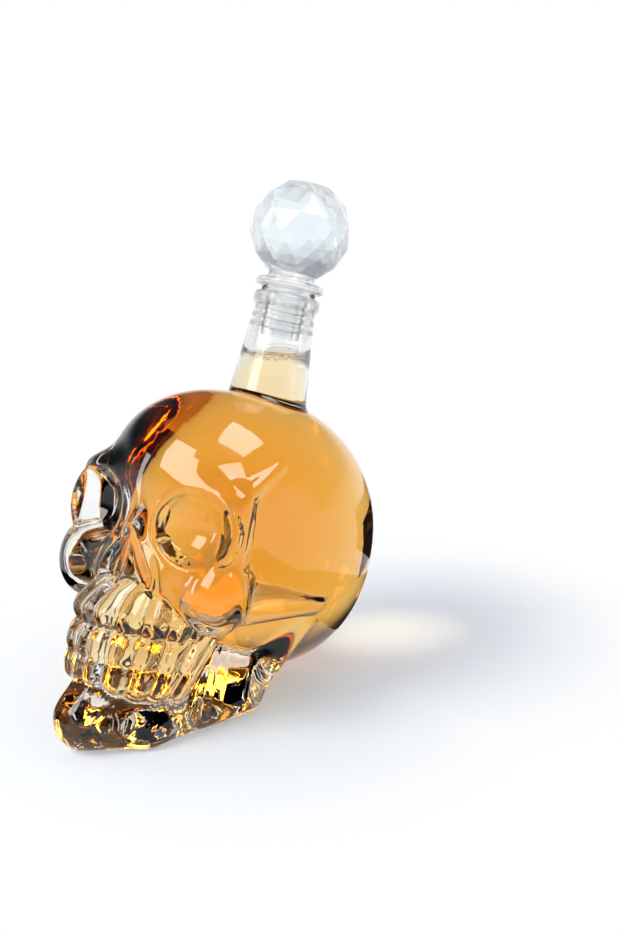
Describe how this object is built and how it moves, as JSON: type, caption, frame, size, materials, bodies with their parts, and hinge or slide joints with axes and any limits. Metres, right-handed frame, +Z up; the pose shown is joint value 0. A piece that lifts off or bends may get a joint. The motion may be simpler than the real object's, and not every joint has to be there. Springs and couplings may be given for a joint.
{
  "type": "figural liquor decanter",
  "caption": "Clear glass decanter moulded as a skull that leans back on its jaw, full of amber liquor, with a round neck closed by a faceted ball stopper in a ribbed sleeve.",
  "frame": {"origin": "middle of the bottom of the bounding box, on the table that the jaw rests on", "axes": "+Z up from the table; -Y the way the face looks; +X towards the skull's left; the neck leans back from +Z towards +Y"},
  "size_m": [0.106, 0.1667, 0.2139],
  "materials": {
    "bottle_glass": "polished",
    "amber_liquor": "gloss",
    "sleeve_plastic": "satin",
    "stem_glass": "polished",
    "crystal_glass": "polished"
  },
  "bodies": {
    "bottle": {"skull_bottle": "bottle_glass", "liquor": "amber_liquor"},
    "sleeve": {"sealing_sleeve": "sleeve_plastic"},
    "stopper": {"stopper_stem": "stem_glass", "crystal_ball": "crystal_glass"}
  },
  "joints": [
    {"name": "stopper_pull", "type": "slide", "parent": "bottle", "child": "sleeve", "axis": [0, 0.3057, 0.9521], "range_m": [0, 0.045]},
    {"name": "stopper_twist", "type": "hinge", "parent": "sleeve", "child": "stopper", "pos_m": [0, 0.02086, 0.069], "axis": [0, 0.3057, 0.9521], "continuous": true}
  ]
}
